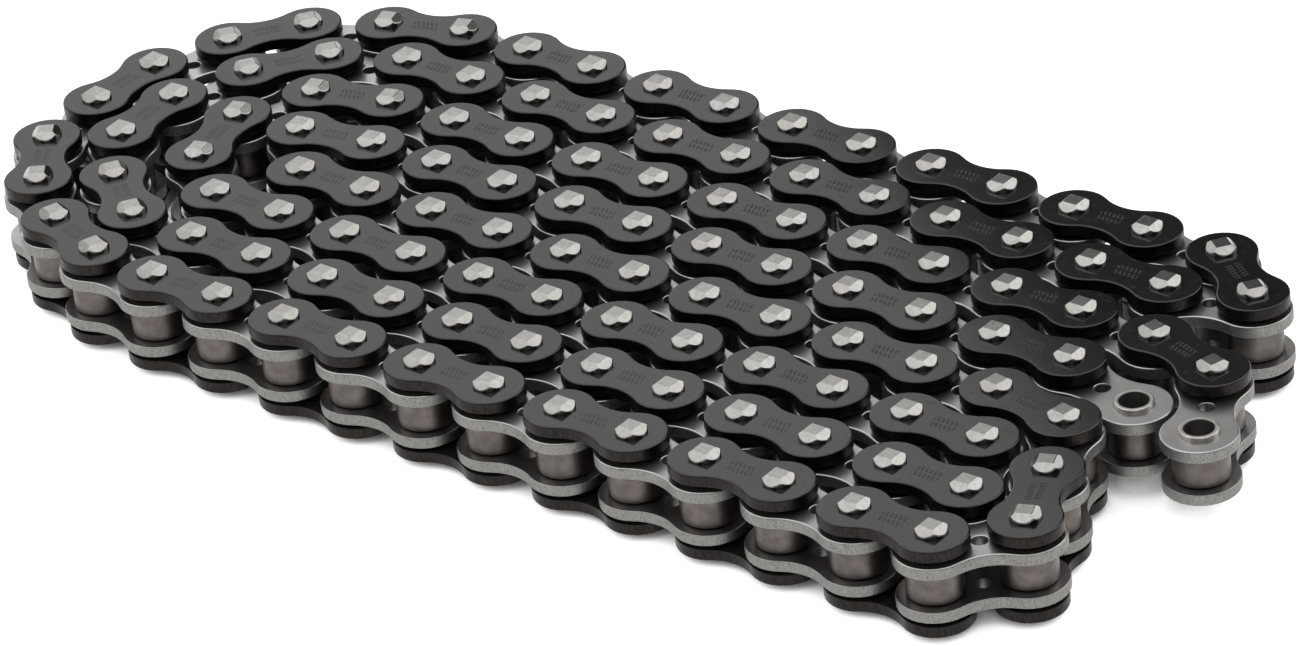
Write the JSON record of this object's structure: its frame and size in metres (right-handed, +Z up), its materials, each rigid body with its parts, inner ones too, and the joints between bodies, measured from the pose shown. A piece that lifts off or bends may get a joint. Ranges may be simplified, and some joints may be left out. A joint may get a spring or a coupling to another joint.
{
  "type": "drive chain",
  "caption": "Sealed motorcycle roller chain, open at its joining point and laid in a flat serpentine coil, with both end links free for a connecting link",
  "frame": {"origin": "on the ground under the middle of the coil's box, with the lower pin ends on the ground", "axes": "+X along the lanes, towards the side with both free ends; +Z up along the pins; +Y towards the back lane"},
  "size_m": [0.2614, 0.1138, 0.0202],
  "materials": {
    "outer_plate_steel": "satin black, heat-darkened steel",
    "inner_plate_steel": "satin grey steel, shot-polished",
    "pin_steel": "bright struck heads",
    "bush_steel": "ground and lightly oiled",
    "roller_steel": "burnished, oiled",
    "seal_rubber": "matte black nitrile"
  },
  "bodies": {
    "coil": {"outer_plates_upper": "outer_plate_steel", "outer_plates_lower": "outer_plate_steel", "inner_plates_upper": "inner_plate_steel", "inner_plates_lower": "inner_plate_steel", "pins": "pin_steel", "bushes": "bush_steel", "rollers": "roller_steel", "seals_upper": "seal_rubber", "seals_lower": "seal_rubber", "tucked_end_plate_upper": "inner_plate_steel", "tucked_end_plate_lower": "inner_plate_steel", "tucked_end_pinned_bush": "bush_steel", "tucked_end_free_bush": "bush_steel"},
    "loose_link": {"loose_link_plate_upper": "outer_plate_steel", "loose_link_plate_lower": "outer_plate_steel", "loose_link_seals_upper": "seal_rubber", "loose_link_seals_lower": "seal_rubber", "loose_link_coil_pin": "pin_steel", "loose_link_end_pin": "pin_steel"},
    "loose_end": {"loose_end_plate_upper": "inner_plate_steel", "loose_end_plate_lower": "inner_plate_steel", "loose_end_pinned_bush": "bush_steel", "loose_end_free_bush": "bush_steel"},
    "front_roller_01": {"front_roller_01": "roller_steel"},
    "front_roller_02": {"front_roller_02": "roller_steel"},
    "front_roller_03": {"front_roller_03": "roller_steel"},
    "front_roller_04": {"front_roller_04": "roller_steel"},
    "front_roller_05": {"front_roller_05": "roller_steel"},
    "front_roller_06": {"front_roller_06": "roller_steel"},
    "front_roller_07": {"front_roller_07": "roller_steel"},
    "front_roller_08": {"front_roller_08": "roller_steel"},
    "front_roller_09": {"front_roller_09": "roller_steel"},
    "front_roller_10": {"front_roller_10": "roller_steel"},
    "front_roller_11": {"front_roller_11": "roller_steel"},
    "front_roller_12": {"front_roller_12": "roller_steel"},
    "front_roller_13": {"front_roller_13": "roller_steel"},
    "front_roller_14": {"front_roller_14": "roller_steel"},
    "tucked_end_pinned_roller": {"tucked_end_pinned_roller": "roller_steel"},
    "tucked_end_free_roller": {"tucked_end_free_roller": "roller_steel"},
    "loose_end_pinned_roller": {"loose_end_pinned_roller": "roller_steel"},
    "loose_end_free_roller": {"loose_end_free_roller": "roller_steel"}
  },
  "joints": [
    {"name": "loose_link_swing", "type": "hinge", "parent": "coil", "child": "loose_link", "pos_m": [0.10191, 0.02088, 0.01009], "axis": [0, 0, 1], "range_deg": [0, 30]},
    {"name": "loose_end_swing", "type": "hinge", "parent": "loose_link", "child": "loose_end", "pos_m": [0.1171, 0.01624, 0.01009], "axis": [0, 0, 1], "range_deg": [0, 95]},
    {"name": "front_roller_01_spin", "type": "hinge", "parent": "coil", "child": "front_roller_01", "pos_m": [-0.06903, -0.05001, 0.01009], "axis": [0, 0, 1], "continuous": true},
    {"name": "front_roller_02_spin", "type": "hinge", "parent": "coil", "child": "front_roller_02", "pos_m": [-0.05315, -0.05001, 0.01009], "axis": [0, 0, 1], "continuous": true},
    {"name": "front_roller_03_spin", "type": "hinge", "parent": "coil", "child": "front_roller_03", "pos_m": [-0.03728, -0.05001, 0.01009], "axis": [0, 0, 1], "continuous": true},
    {"name": "front_roller_04_spin", "type": "hinge", "parent": "coil", "child": "front_roller_04", "pos_m": [-0.0214, -0.05001, 0.01009], "axis": [0, 0, 1], "continuous": true},
    {"name": "front_roller_05_spin", "type": "hinge", "parent": "coil", "child": "front_roller_05", "pos_m": [-0.00553, -0.05001, 0.01009], "axis": [0, 0, 1], "continuous": true},
    {"name": "front_roller_06_spin", "type": "hinge", "parent": "coil", "child": "front_roller_06", "pos_m": [0.01035, -0.05001, 0.01009], "axis": [0, 0, 1], "continuous": true},
    {"name": "front_roller_07_spin", "type": "hinge", "parent": "coil", "child": "front_roller_07", "pos_m": [0.02622, -0.05001, 0.01009], "axis": [0, 0, 1], "continuous": true},
    {"name": "front_roller_08_spin", "type": "hinge", "parent": "coil", "child": "front_roller_08", "pos_m": [0.0421, -0.05001, 0.01009], "axis": [0, 0, 1], "continuous": true},
    {"name": "front_roller_09_spin", "type": "hinge", "parent": "coil", "child": "front_roller_09", "pos_m": [0.05797, -0.05001, 0.01009], "axis": [0, 0, 1], "continuous": true},
    {"name": "front_roller_10_spin", "type": "hinge", "parent": "coil", "child": "front_roller_10", "pos_m": [0.07385, -0.05001, 0.01009], "axis": [0, 0, 1], "continuous": true},
    {"name": "front_roller_11_spin", "type": "hinge", "parent": "coil", "child": "front_roller_11", "pos_m": [0.08972, -0.05001, 0.01009], "axis": [0, 0, 1], "continuous": true},
    {"name": "front_roller_12_spin", "type": "hinge", "parent": "coil", "child": "front_roller_12", "pos_m": [0.1056, -0.05001, 0.01009], "axis": [0, 0, 1], "continuous": true},
    {"name": "front_roller_13_spin", "type": "hinge", "parent": "coil", "child": "front_roller_13", "pos_m": [0.11662, -0.03859, 0.01009], "axis": [0, 0, 1], "continuous": true},
    {"name": "front_roller_14_spin", "type": "hinge", "parent": "coil", "child": "front_roller_14", "pos_m": [0.11068, -0.02387, 0.01009], "axis": [0, 0, 1], "continuous": true},
    {"name": "tucked_end_pinned_roller_spin", "type": "hinge", "parent": "coil", "child": "tucked_end_pinned_roller", "pos_m": [0.09356, 0.00714, 0.01009], "axis": [0, 0, 1], "continuous": true},
    {"name": "tucked_end_free_roller_spin", "type": "hinge", "parent": "coil", "child": "tucked_end_free_roller", "pos_m": [0.10909, 0.00384, 0.01009], "axis": [0, 0, 1], "continuous": true},
    {"name": "loose_end_pinned_roller_spin", "type": "hinge", "parent": "loose_end", "child": "loose_end_pinned_roller", "pos_m": [0.1171, 0.01624, 0.01009], "axis": [0, 0, 1], "continuous": true},
    {"name": "loose_end_free_roller_spin", "type": "hinge", "parent": "loose_end", "child": "loose_end_free_roller", "pos_m": [0.1238, 0.00185, 0.01009], "axis": [0, 0, 1], "continuous": true}
  ]
}
